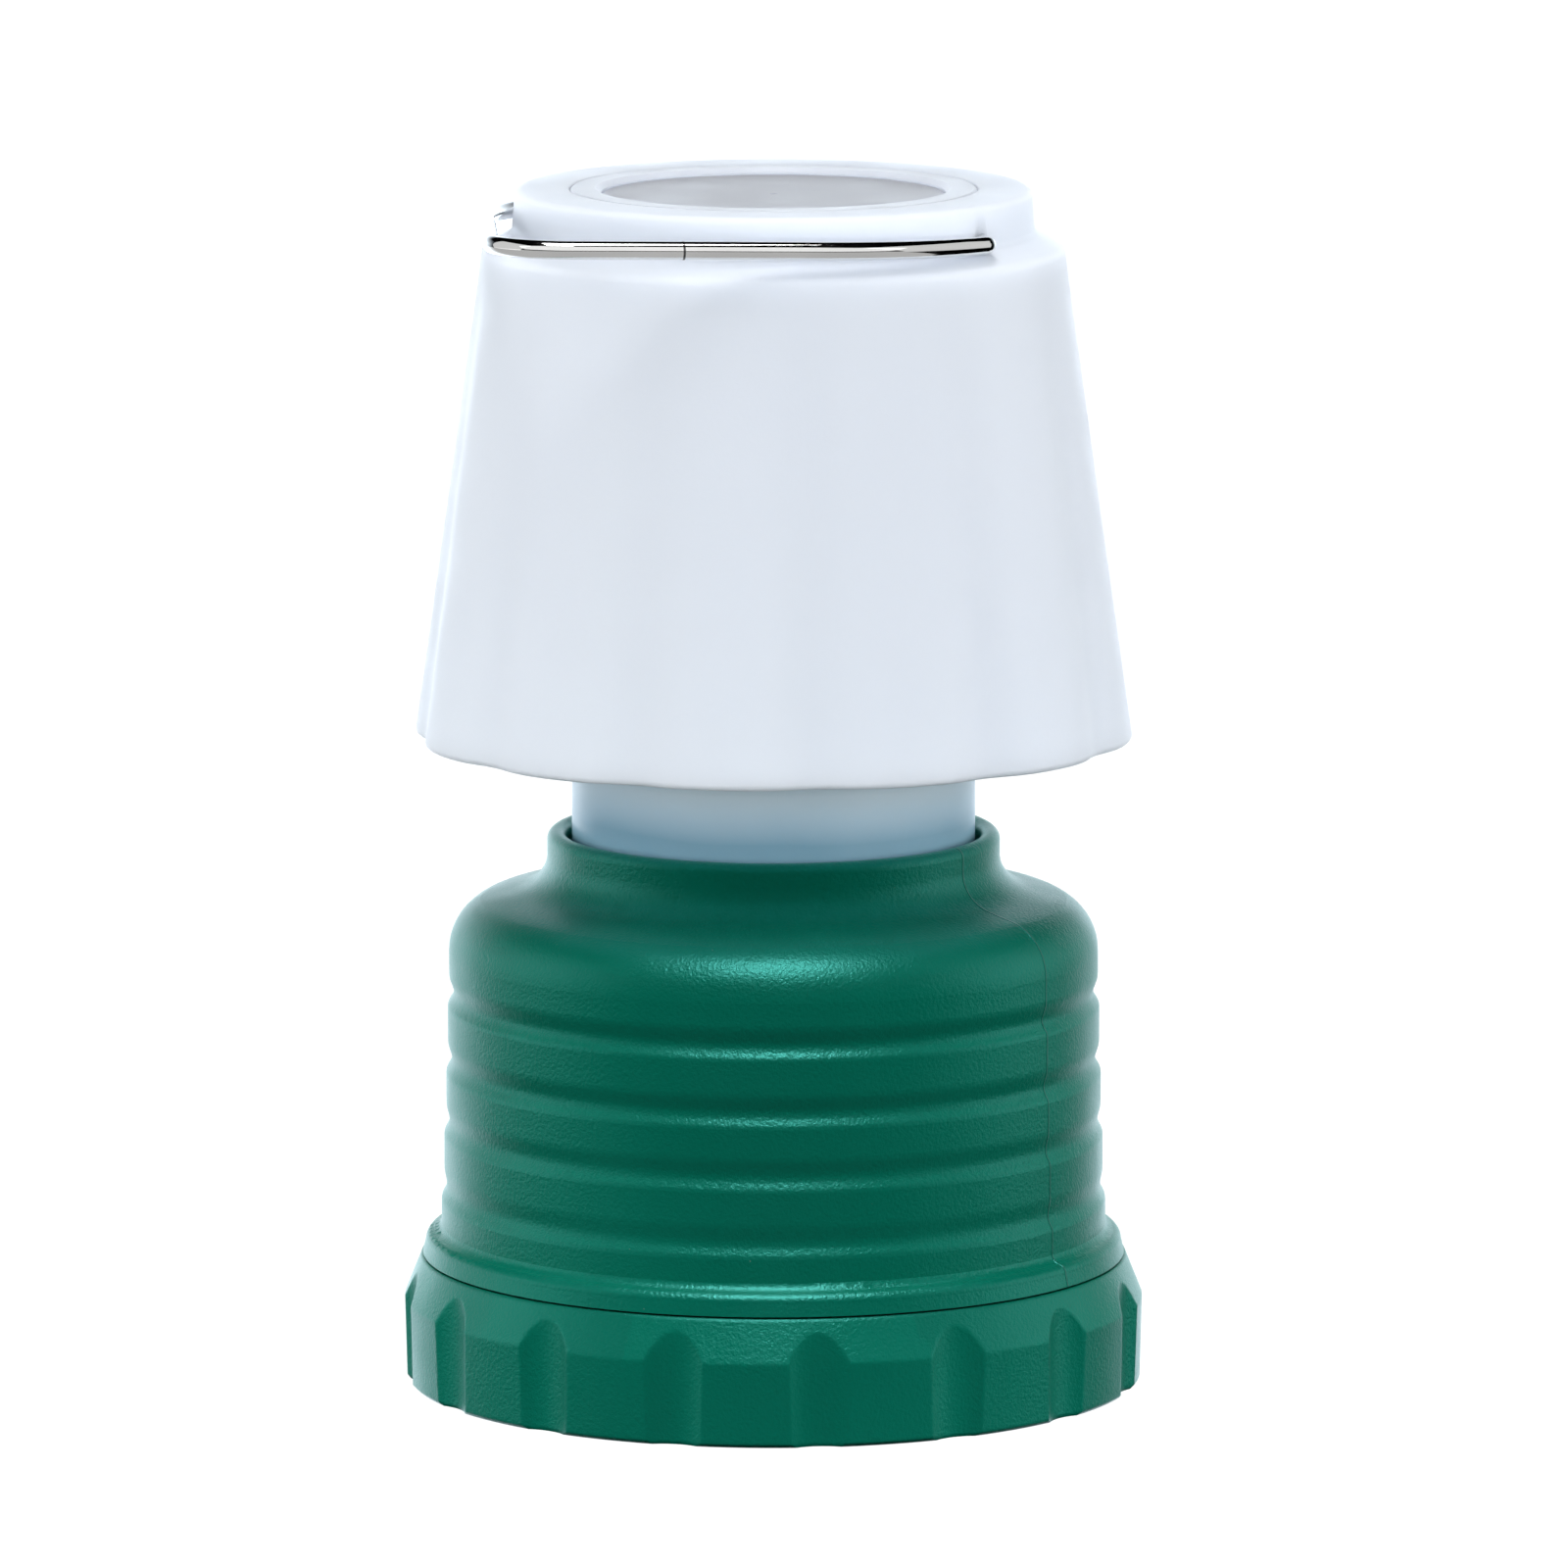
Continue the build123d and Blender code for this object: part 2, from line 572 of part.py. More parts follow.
def shade_shell():
    """Turned wall of the shade, with the neck and the lip that the cap clamps."""
    outer = revolved([
        (0, SHADE_BOTTOM_Z), (SHADE_BOTTOM_R, SHADE_BOTTOM_Z), (SHADE_TOP_R, SHADE_TOP_Z), (41.1, 162.9),
        (40.2, 163.7), (39.0, 164.5), (37.6, 165.2), (36.95, 165.7), (NECK_R, 166.3), (NECK_R, TOP_Z - 0.8),
        (36.45, TOP_Z - 0.25), (35.9, TOP_Z), (0, TOP_Z),
    ])
    inner = revolved([
        (0, SHADE_BOTTOM_Z - 1), (SHADE_BOTTOM_R - SHADE_WALL + 0.14, SHADE_BOTTOM_Z - 1),
        (SHADE_TOP_R - SHADE_WALL, SHADE_TOP_Z - 0.6), (38.6, 162.1), (37.0, 162.9), (NECK_BORE_R, 163.6),
        (NECK_BORE_R, 168.9), (0, 168.9),
    ])
    lip = ring(SHADE_LIP_R, NECK_BORE_R + 0.5, *SHADE_LIP_Z)
    return outer - inner + lip - disc(SHADE_LIP_R, 160, 180) - disc(CAP_R + 0.12, SHADE_LIP_Z[1], 180)


def pleat_cutters():
    """Round bars that lean with the wall and cut the valleys, deeper towards the lower rim."""
    height = SHADE_TOP_Z - SHADE_BOTTOM_Z
    slope = degrees(atan2(SHADE_BOTTOM_R - SHADE_TOP_R, height))
    fade = degrees(atan2(PLEAT_DEPTH, height))
    bar = disc(PLEAT_VALLEY_R, -5, height + 16)
    bar_x = SHADE_BOTTOM_R - PLEAT_DEPTH + PLEAT_VALLEY_R
    bar = Pos(bar_x, 0, SHADE_BOTTOM_Z) * Rot(0, fade - slope, 0) * bar
    below_shoulder = block((-60, 60), (-60, 60), (SHADE_BOTTOM_Z - 10, SHADE_TOP_Z - 1))
    return around(bar & below_shoulder, [PLEAT_ANGLE + 360 / PLEATS * k for k in range(PLEATS)])


def along_x(radius, x0, x1, side, z=PIVOT_Z):
    """Bar between two distances from the middle, on the side given as -1 or 1."""
    return rod_x(radius, *sorted((side * x0, side * x1)), z=z)


def shade():
    shell = shade_shell()
    for groove in pleat_cutters():
        shell = shell - groove
    for side in (-1, 1):
        shell = shell + along_x(3.0, 31.8, NECK_BORE_R + 0.4, side, PIVOT_Z - 0.4)
        shell = shell - along_x(2.8, 30.6, 31.8, side)
        shell = shell - along_x(WIRE_R + RUN, 30.0, 36.9, side)
        shell = shell - along_x(WIRE_R + GAP, NECK_R - 0.05, 42.0, side)
    return shell


def top_cap():
    """Cap with a shallow recess on top and a skirt that is screwed inside the globe."""
    skirt_r = GLOBE_R - GLOBE_WALL - 0.25
    cap = revolved([
        (0, 168.2), (24.6, 168.2), (CAP_SKIRT_BORE_R, 167.6), (CAP_SKIRT_BORE_R, 160.5), (skirt_r, 160.5),
        (skirt_r, 169.35), (CAP_R, 169.35), (CAP_R, TOP_Z - 0.3), (CAP_R - 0.3, TOP_Z),
        (RECESS_R + 0.8, TOP_Z), (RECESS_R, TOP_Z - 0.7), (RECESS_R, RECESS_Z), (0, RECESS_Z),
    ])
    for hole in around(rod_x(1.12, 24, 28, z=CAP_SCREW_Z), CELL_ANGLES):
        cap = cap - hole
    return cap


def cap_disc():
    """Plain disc in the cap's recess, with a small dimple in the middle."""
    plate = disc(RECESS_R - 0.15, RECESS_Z + 0.02, RECESS_Z + 0.65)
    plate = chamfer(plate.edges().group_by(Axis.Z)[-1], 0.15)
    return plate - Pos(0, 0, TOP_Z) * Sphere(1.1)


def cap_screws():
    screw = Pos(GLOBE_R + 0.05, 0, CAP_SCREW_Z) * Rot(0, -90, 0) * pan_screw(2.2, 1.2, 1.07, 3.2)
    return around(screw, CELL_ANGLES)


# ---- bail ----
def bail_path():
    """Half of the bail is mirrored: pivot end, elbow, arc along the neck, straight run, apex."""
    arc_centre = Vector(0, BAIL_ELBOW_R)
    apex_centre = Vector(0, BAIL_APEX_Y - BAIL_APEX_R)
    tangent = degrees(asin((BAIL_ARC_R - BAIL_APEX_R) / (apex_centre.Y - arc_centre.Y)))

    def on(centre, radius, angle):
        return centre + Vector(*polar(radius, angle))

    elbow_x = BAIL_ARC_R - BAIL_ELBOW_R
    edges = [Line((BAIL_END_X, 0), (elbow_x, 0))]
    half = BAIL_ELBOW_R * sin(radians(45))
    elbow_mid = (elbow_x + half, BAIL_ELBOW_R - half)
    edges.append(ThreePointArc((elbow_x, 0), elbow_mid, (BAIL_ARC_R, BAIL_ELBOW_R)))
    edges.append(ThreePointArc((BAIL_ARC_R, BAIL_ELBOW_R), on(arc_centre, BAIL_ARC_R, tangent / 2),
                               on(arc_centre, BAIL_ARC_R, tangent)))
    edges.append(Line(on(arc_centre, BAIL_ARC_R, tangent), on(apex_centre, BAIL_APEX_R, tangent)))
    half_loop = Wire([edge.edge() for edge in edges])
    apex = ThreePointArc(on(apex_centre, BAIL_APEX_R, tangent), (0, BAIL_APEX_Y),
                         on(apex_centre, BAIL_APEX_R, 180 - tangent))
    mirrored = half_loop.mirror(Plane.YZ)
    return Wire(list(half_loop.edges()) + [apex.edge()] + list(mirrored.edges()))


def bail_handle():
    """The folded bail leans slightly above the pivot line, because it rests on the shade's shoulder."""
    path = bail_path()
    start = Vector(BAIL_END_X, 0, 0)
    section = Plane(origin=start, z_dir=(1, 0, 0)) * Circle(WIRE_R)
    wire = sweep(section, path=path, transition=Transition.RIGHT)
    return Pos(0, 0, PIVOT_Z) * Rot(BAIL_TILT, 0, 0) * wire


def bail_clips():
    """Push-on clips that keep the wire's ends inside the neck."""
    return [along_x(CLIP_R, *CLIP_X, side) - along_x(WIRE_R, 30, 33, side) for side in (-1, 1)]


# ---- write one STEP per node ----
NODES = {
    "battery_cover": battery_cover,
    "body_housing": body_housing,
    "cover_seal": cover_seal,
    "contact_disc": contact_disc,
    "lower_contacts": lower_contacts,
    "lower_springs": lower_springs,
    "battery_carrier": battery_carrier,
    "carrier_screws": carrier_screws,
    "return_strip": return_strip,
    "contact_deck": contact_deck,
    "upper_contacts": upper_contacts,
    "upper_spring": upper_spring,
    "driver_board": driver_board,
    "driver_parts": driver_parts,
    "heat_sink": heat_sink,
    "pedestal_screws": pedestal_screws,
    "led_board": led_board,
    "led_chip": led_chip,
    "button_bezel": button_bezel,
    "power_button": power_button,
    "switch_plunger": switch_plunger,
    "switch_body": switch_body,
    "switch_board": switch_board,
    "switch_screws": switch_screws,
    "switch_leads": switch_leads,
    "globe": globe,
    "globe_gasket": globe_gasket,
    "reflector": reflector,
    "shade": shade,
    "top_cap": top_cap,
    "cap_disc": cap_disc,
    "cap_screws": cap_screws,
    "bail_handle": bail_handle,
    "bail_clips": bail_clips,
}
for cell_index in range(len(CELL_ANGLES)):
    NODES[f"cell_{cell_index + 1}"] = lambda index=cell_index: d_cell(index)

os.makedirs("parts", exist_ok=True)
for name, make in NODES.items():
    shape = make()
    if isinstance(shape, list):
        shape = Compound(children=[solid for part in shape for solid in part.solids()])
    export_step(shape, f"parts/{name}.step")
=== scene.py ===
"""Camping lantern: looks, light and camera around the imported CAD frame. Lengths in metres."""
from math import cos, hypot, pi, radians, sin, tan

import bmesh
import bpy
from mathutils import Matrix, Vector


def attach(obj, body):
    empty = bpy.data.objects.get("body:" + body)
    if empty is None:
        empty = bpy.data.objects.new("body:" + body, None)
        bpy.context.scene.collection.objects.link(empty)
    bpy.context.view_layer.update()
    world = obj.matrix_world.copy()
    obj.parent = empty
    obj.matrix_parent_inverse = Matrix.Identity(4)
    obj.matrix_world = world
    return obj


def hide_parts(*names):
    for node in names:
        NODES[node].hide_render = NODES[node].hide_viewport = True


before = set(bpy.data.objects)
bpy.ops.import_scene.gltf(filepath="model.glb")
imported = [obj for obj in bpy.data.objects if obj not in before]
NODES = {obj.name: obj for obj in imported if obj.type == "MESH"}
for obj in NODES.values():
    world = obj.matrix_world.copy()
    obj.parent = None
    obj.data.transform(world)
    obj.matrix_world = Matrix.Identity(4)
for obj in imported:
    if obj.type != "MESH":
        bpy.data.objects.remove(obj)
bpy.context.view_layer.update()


# ---- objects ----
def add_object(name, data):
    made = bpy.data.objects.new(name, data)
    bpy.context.scene.collection.objects.link(made)
    return made


def add_mesh(name, mesh):
    """Object from a bmesh, which is freed."""
    data = bpy.data.meshes.new(name)
    mesh.to_mesh(data)
    mesh.free()
    return add_object(name, data)


# ---- camera: low, on the side to which the bail is folded ----
VIEW_AZIMUTH = radians(218.0)
CAMERA_DISTANCE = 1.950          # horizontal, from the lantern's axis
CAMERA_HEIGHT = 0.397
AIM_HEIGHT = 0.086
LENS_MM = 317.0
SENSOR_MM = 36.0
AXIS_LEFT_OF_CENTRE = 0.0066875  # share of the frame's width
FAR_CLIP = 50.0


def toward_camera(distance, height, turn=0.0):
    """A place at that horizontal distance, turned by degrees from the camera's side."""
    azimuth = VIEW_AZIMUTH + radians(turn)
    return Vector((sin(azimuth) * distance, -cos(azimuth) * distance, height))


def point_at(item, aim):
    """Turn a camera or lamp, which look along their own -Z, toward a place."""
    item.rotation_euler = (aim - item.location).to_track_quat("-Z", "Y").to_euler()


def add_camera():
    data = bpy.data.cameras.new("camera")
    data.lens = LENS_MM
    data.sensor_width = SENSOR_MM
    data.shift_x = AXIS_LEFT_OF_CENTRE
    data.clip_end = FAR_CLIP
    camera = add_object("camera", data)
    camera.location = toward_camera(CAMERA_DISTANCE, CAMERA_HEIGHT)
    point_at(camera, Vector((0.0, 0.0, AIM_HEIGHT)))
    bpy.context.scene.camera = camera


# ---- node helpers ----
MIX_SOCKETS = {"FLOAT": (2, 3, 0), "RGBA": (6, 7, 2)}      # first input, second input, output


class Nodes:
    """Short helpers for one node tree. A value is a number, a colour or another node's output."""

    def __init__(self, tree):
        self.tree = tree

    def node(self, kind, **settings):
        made = self.tree.nodes.new(kind)
        for key, value in settings.items():
            setattr(made, key, value)
        return made

    def link(self, source, target):
        self.tree.links.new(source, target)

    def feed(self, socket, value):
        if isinstance(value, (int, float)):
            socket.default_value = value
        elif isinstance(value, tuple):
            socket.default_value = value + (1.0,)
        else:
            self.link(value, socket)

    def spread(self, value, low, high, out_low=0.0, out_high=1.0):
        """Map the range low to high onto out_low to out_high."""
        made = self.node("ShaderNodeMapRange")
        for key, number in (("From Min", low), ("From Max", high),
                            ("To Min", out_low), ("To Max", out_high)):
            made.inputs[key].default_value = number
        self.link(value, made.inputs["Value"])
        return made.outputs["Result"]

    def math(self, operation, first, second=0.0, clamp=False):
        made = self.node("ShaderNodeMath", operation=operation, use_clamp=clamp)
        self.feed(made.inputs[0], first)
        self.feed(made.inputs[1], second)
        return made.outputs["Value"]

    def mix(self, factor, first, second, kind="RGBA"):
        first_input, second_input, output = MIX_SOCKETS[kind]
        made = self.node("ShaderNodeMix", data_type=kind)
        self.feed(made.inputs[0], factor)
        self.feed(made.inputs[first_input], first)
        self.feed(made.inputs[second_input], second)
        return made.outputs[output]


class Shader(Nodes):
    """A Principled material with procedural detail in object coordinates."""

    def __init__(self, name):
        self.material = bpy.data.materials.new(name)
        self.material.use_nodes = True
        super().__init__(self.material.node_tree)
        self.bsdf = self.tree.nodes["Principled BSDF"]
        self.place = self.node("ShaderNodeTexCoord").outputs["Object"]

    def set(self, **values):
        for key, value in values.items():
            self.bsdf.inputs[key.replace("_", " ")].default_value = value
        return self

    def axis(self, name):
        separate = self.node("ShaderNodeSeparateXYZ")
        self.link(self.place, separate.inputs["Vector"])
        return separate.outputs[name]

    def noise(self, scale, detail=2.0, roughness=0.5, stretch=None):
        made = self.node("ShaderNodeTexNoise")
        made.inputs["Scale"].default_value = scale
        made.inputs["Detail"].default_value = detail
        made.inputs["Roughness"].default_value = roughness
        place = self.place
        if stretch:
            mapping = self.node("ShaderNodeMapping")
            mapping.inputs["Scale"].default_value = stretch
            self.link(place, mapping.inputs["Vector"])
            place = mapping.outputs["Vector"]
        self.link(place, made.inputs["Vector"])
        return made.outputs["Fac"]

    def clouds(self, scale, low=0.0, high=1.0, detail=3.0, stretch=None):
        """Soft noise, with the range that it mostly fills spread over low to high."""
        return self.spread(self.noise(scale, detail, stretch=stretch), 0.3, 0.7, low, high)

    def crisp_clouds(self, scale):
        """Noise with more contrast, from 0 to 1."""
        return self.spread(self.noise(scale, 3.0), 0.35, 0.65)

    def colour(self, socket):
        self.link(socket, self.bsdf.inputs["Base Color"])

    def rough(self, socket):
        self.link(socket, self.bsdf.inputs["Roughness"])

    def bump(self, height, distance, strength, soft_edges=None):
        """Relief; soft_edges is the radius to which sharp edges are rounded in the shading."""
        made = self.node("ShaderNodeBump")
        if soft_edges:
            bevel = self.node("ShaderNodeBevel", samples=6)
            bevel.inputs["Radius"].default_value = soft_edges
            self.link(bevel.outputs["Normal"], made.inputs["Normal"])
        made.inputs["Strength"].default_value = strength
        made.inputs["Distance"].default_value = distance
        self.link(height, made.inputs["Height"])
        self.link(made.outputs["Normal"], self.bsdf.inputs["Normal"])


# ---- studio around the lantern ----
STUDIO_WHITE = 2.8               # radiance straight behind the lantern
STUDIO_SEEN = 0.97               # how bright the studio looks to the camera
STUDIO_TINT = (0.82, 0.91, 1.0)
WHITE = (1.0, 1.0, 1.0)
WHITE_TURN = radians(6.0)                    # the white's middle, off the line straight behind
WHITE_BEGINS, WHITE_FULL = -0.53, -0.97      # cosine to the direction away from that middle
WHITE_CURVE = 1.3
WHITE_LOW, WHITE_HIGH = 0.08, 0.42           # the white fades out between these elevations


def add_world():
    """A studio that is white behind the lantern and black in front of it, so gloss stays deep."""
    world = bpy.data.worlds.new("studio")
    world.use_nodes = True
    nodes = Nodes(world.node_tree)
    background = nodes.tree.nodes["Background"]
    direction = nodes.node("ShaderNodeTexCoord").outputs["Generated"]
    away = VIEW_AZIMUTH + WHITE_TURN
    toward = nodes.node("ShaderNodeVectorMath", operation="DOT_PRODUCT")
    nodes.link(direction, toward.inputs[0])
    toward.inputs[1].default_value = (sin(away), -cos(away), 0.0)
    separate = nodes.node("ShaderNodeSeparateXYZ")
    nodes.link(direction, separate.inputs["Vector"])
    facing = nodes.spread(toward.outputs["Value"], WHITE_FULL, WHITE_BEGINS, 1.0, 0.0)
    behind = nodes.math("POWER", facing, WHITE_CURVE)
    low = nodes.spread(separate.outputs["Z"], WHITE_LOW, WHITE_HIGH, 1.0, 0.0)
    white = nodes.math("MULTIPLY", nodes.math("MULTIPLY", behind, low), STUDIO_WHITE)
    to_camera = nodes.node("ShaderNodeLightPath").outputs["Is Camera Ray"]
    strength = nodes.mix(to_camera, white, STUDIO_SEEN, "FLOAT")
    nodes.link(strength, background.inputs["Strength"])
    nodes.link(nodes.mix(to_camera, STUDIO_TINT, WHITE), background.inputs["Color"])
    bpy.context.scene.world = world


# ---- lamps ----
FLOOR_LIGHT = 3.7
FLOOR_LIGHT_ANGLE = radians(70)
BOUNCE_WIDTH, BOUNCE_POWER = 0.36, 0.06
BOUNCE_HEIGHT = 0.0005
MIDDLE = Vector((0.0, 0.0, 0.09))

# widths of the softboxes
GREEN_OVERHEAD = (0.45, 0.80)
OTHERS_OVERHEAD = (0.45, 0.60)
FILL = (1.0, 1.0)
MILKY_FILL = (0.8, 0.8)
WIRE_CARD = (3.2, 1.1)
WIRE_SIDE_CARD = (1.2, 1.2)
WIRE_TABLE = (2.8, 1.6)
MILKY_FILL_TINT = (0.95, 0.97, 1.0)


def add_softbox(name, place, size, power, only, mirrored=True, matt=True, tint=WHITE, aim=MIDDLE):
    """Rectangular soft light for the pieces in only; mirrored and matt say what shows it."""
    data = bpy.data.lights.new(name, "AREA")
    data.shape = "RECTANGLE"
    data.size, data.size_y = size
    data.energy = power
    data.color = tint
    lamp = add_object(name, data)
    lamp.location = place
    point_at(lamp, aim)
    lamp.visible_glossy = mirrored
    lamp.visible_diffuse = matt
    lamp.visible_camera = False
    lamp.light_linking.receiver_collection = only


def lit_group(name, items):
    """Collection of the objects that a light is limited to."""
    collection = bpy.data.collections.new(name)
    bpy.context.scene.collection.children.link(collection)
    for item in items:
        collection.objects.link(item)
    return collection


def add_floor_light(floor):
    data = bpy.data.lights.new("floor_light", "SUN")
    data.energy = FLOOR_LIGHT
    data.angle = FLOOR_LIGHT_ANGLE
    data.use_shadow = False
    lamp = add_object("floor_light", data)
    lamp.light_linking.receiver_collection = lit_group("floor_only", [floor])


def add_table_bounce(lit):
    """The table's white around the foot, for the surfaces that look down on it."""
    data = bpy.data.lights.new("table_bounce", "AREA")
    data.shape = "DISK"
    data.size = BOUNCE_WIDTH
    data.energy = BOUNCE_POWER
    lamp = add_object("table_bounce", data)
    lamp.location = (0.0, 0.0, BOUNCE_HEIGHT)
    lamp.rotation_euler = (pi, 0.0, 0.0)
    lamp.visible_camera = False
    lamp.visible_glossy = False
    lamp.light_linking.receiver_collection = lit


def light_green(green, ring):
    """Even matt light from the front, and a softbox overhead whose strong part is only mirrored."""
    overhead = toward_camera(0.32, 1.06)
    add_softbox("green_sheen", overhead, GREEN_OVERHEAD, 12.0, green, matt=False)
    add_softbox("green_key", overhead, GREEN_OVERHEAD, 5.2, green, mirrored=False)
    add_softbox("ring_key", overhead, GREEN_OVERHEAD, 2.0, ring, mirrored=False)
    for turn, power in ((-75, 4.1), (0, 1.1), (75, 4.1)):
        place = toward_camera(1.3, 0.45, turn)
        add_softbox(f"green_fill_{turn}", place, FILL, power, green, mirrored=False)
    for turn in (-97, 97):
        place = toward_camera(1.3, 0.30, turn)
        add_softbox(f"green_side_{turn}", place, FILL, 2.5, green, matt=False)


def light_others(others, milky):
    """Softbox overhead and fills around the front, with more fill for the milky pieces."""
    add_softbox("key_overhead", toward_camera(0.20, 1.10), OTHERS_OVERHEAD, 6.0, others)
    for turn, power in ((-75, 2.5), (0, 1.0), (75, 2.5)):
        place = toward_camera(1.3, 0.55, turn)
        add_softbox(f"fill_{turn}", place, FILL, power, others, mirrored=False)
    for turn, power in ((-110, 4.6), (-58, 7.8), (0, 7.6), (58, 7.6), (110, 5.4)):
        place = toward_camera(1.2, 0.25, turn)
        add_softbox(f"milky_fill_{turn}", place, MILKY_FILL, power, milky, mirrored=False,
                    tint=MILKY_FILL_TINT)


def light_wire(wire):
    """White cards and the table, as the bright wire mirrors them."""
    add_softbox("wire_card", toward_camera(1.0, 0.70), WIRE_CARD, 11.0, wire, matt=False)
    for turn in (-85, 85):
        place = toward_camera(1.0, 0.45, turn)
        add_softbox(f"wire_card_{turn}", place, WIRE_SIDE_CARD, 3.2, wire, matt=False)
    front = toward_camera(0.9, 0.001)
    add_softbox("wire_table", front, WIRE_TABLE, 7.0, wire, matt=False,
                aim=front + Vector((0, 0, 1)))


def add_lights(floor, shade):
    add_floor_light(floor)
    housing, ring = NODES["body_housing"], NODES["battery_cover"]
    others = [item for item in NODES.values() if item not in (housing, ring)] + [shade]
    milky = [NODES["globe"], NODES["top_cap"], shade]
    light_green(lit_group("green_pieces", [housing, ring]), lit_group("ring_only", [ring]))
    add_table_bounce(lit_group("above_table", [housing, ring, shade]))
    light_others(lit_group("other_pieces", others), lit_group("milky_pieces", milky))
    light_wire(lit_group("wire_only", [NODES["bail_handle"]]))


# ---- materials ----
GREEN = (0.0, 0.365, 0.236)
GREEN_DARK = (0.0, 0.335, 0.215)
GREEN_SHEEN = (0.22, 1.0, 0.97, 1.0)
DUST = (0.50, 0.70, 0.64)
SEAM_SHADOW = (0.0, 0.05, 0.035)
SEAM_ANGLE = radians(4)          # the housing's mould parting plane, from +X
RING_SOFT_EDGE = 0.0008
MILKY = (0.76, 0.82, 0.95)
GLOBE_SHADE_AND_LIGHT_TONES = (0.20, 0.35, 0.44), (0.72, 0.88, 0.98)       # painted shade at the collar, and painted light higher up
GLOBE_PAINTED_LIGHT_HEIGHTS = 0.0815, 0.0885   # heights between which the globe's painted shade turns to painted light
EVEN_SCATTER = (1.0, 1.0, 1.0)
WIRE_RUN = (0.648, 0.762)        # direction of the bail's straight run, folded down
WIRE_SEAM = 0.02126              # place of the wire's butt seam along that run
WIRE_RUN_BEYOND = 0.030          # the straight run lies further out than this


def shaded(colour, share):
    return tuple(share * part for part in colour)


def plastic(name, colour, dark, rough=(0.38, 0.5), grain=3200.0, grain_depth=0.00004, **extra):
    """Moulded plastic: cloudy colour, fine eroded grain and uneven gloss."""
    shader = Shader(name)
    shader.colour(shader.mix(shader.crisp_clouds(28.0), dark, colour))
    shader.rough(shader.clouds(90.0, *rough))
    shader.bump(shader.noise(grain, 2.0, 0.6), grain_depth, 0.6)
    return shader.set(**extra)


def metal(name, colour, rough, brushed=None):
    """Metal with fine drawn or cast structure and slightly uneven gloss."""
    shader = Shader(name)
    shader.colour(shader.mix(shader.clouds(60.0), shaded(colour, 0.86), colour))
    shader.rough(shader.clouds(420.0, *rough, stretch=brushed))
    shader.bump(shader.noise(2200.0, 2.0, stretch=brushed), 0.00001, 0.35)
    return shader.set(Metallic=1.0)


def green_plastic(name, seam=False, soft_edges=None):
    """Green plastic with an eroded grain, faint dust specks and, on the shell, its mould seam."""
    shader = Shader(name)
    base = shader.mix(shader.crisp_clouds(22.0), GREEN_DARK, GREEN)
    specks = shader.spread(shader.noise(1300.0, 1.0), 0.84, 0.88)
    base = shader.mix(shader.math("MULTIPLY", specks, 0.55), base, DUST)
    height = shader.noise(2000.0, 2.0, 0.62)
    if seam:
        across = shader.math("ADD", shader.math("MULTIPLY", shader.axis("X"), -sin(SEAM_ANGLE)),
                             shader.math("MULTIPLY", shader.axis("Y"), cos(SEAM_ANGLE)))
        line = shader.spread(shader.math("ABSOLUTE", across), 0.00006, 0.00022, 1.0, 0.0)
        base = shader.mix(shader.math("MULTIPLY", line, 0.35), base, SEAM_SHADOW)
        height = shader.math("ADD", height, shader.math("MULTIPLY", line, 1.2))
    shader.colour(base)
    shader.rough(shader.clouds(70.0, 0.32, 0.40))
    shader.bump(height, 0.00014, 0.8, soft_edges)
    return shader.set(Specular_IOR_Level=0.8, IOR=1.6, Specular_Tint=GREEN_SHEEN)


def milky_plastic(name, colour=MILKY):
    """Translucent milky polypropylene with flow clouds and a satin skin."""
    shader = Shader(name)
    flow = shader.clouds(16.0, stretch=(1.0, 1.0, 0.35))
    shader.colour(shader.mix(flow, shaded(colour, 0.965), colour))
    shader.rough(shader.clouds(120.0, 0.34, 0.44))
    shader.bump(shader.noise(1500.0, 2.0), 0.00003, 0.35)
    return shader.set(Subsurface_Weight=0.85, Subsurface_Scale=0.006,
                      Subsurface_Radius=EVEN_SCATTER, IOR=1.28)


def frosted_globe(name):
    """Frosted tube with painted light: whiter upward from the collar, where light comes in through
    the shade, and painted shade darker at the collar.
    """
    shader = Shader(name)
    # painted light and shade: the colour whitens with height, plus random cloudy tone
    height = shader.spread(shader.axis("Z"), *GLOBE_PAINTED_LIGHT_HEIGHTS)
    painted_light_and_clouds = shader.math("ADD", height, shader.clouds(20.0, -0.12, 0.12), clamp=True)
    shader.colour(shader.mix(painted_light_and_clouds, *GLOBE_SHADE_AND_LIGHT_TONES))
    shader.rough(shader.clouds(140.0, 0.30, 0.40))
    shader.bump(shader.noise(1700.0, 2.0), 0.00002, 0.3)
    return shader.set(Subsurface_Weight=0.5, Subsurface_Scale=0.004,
                      Subsurface_Radius=EVEN_SCATTER)


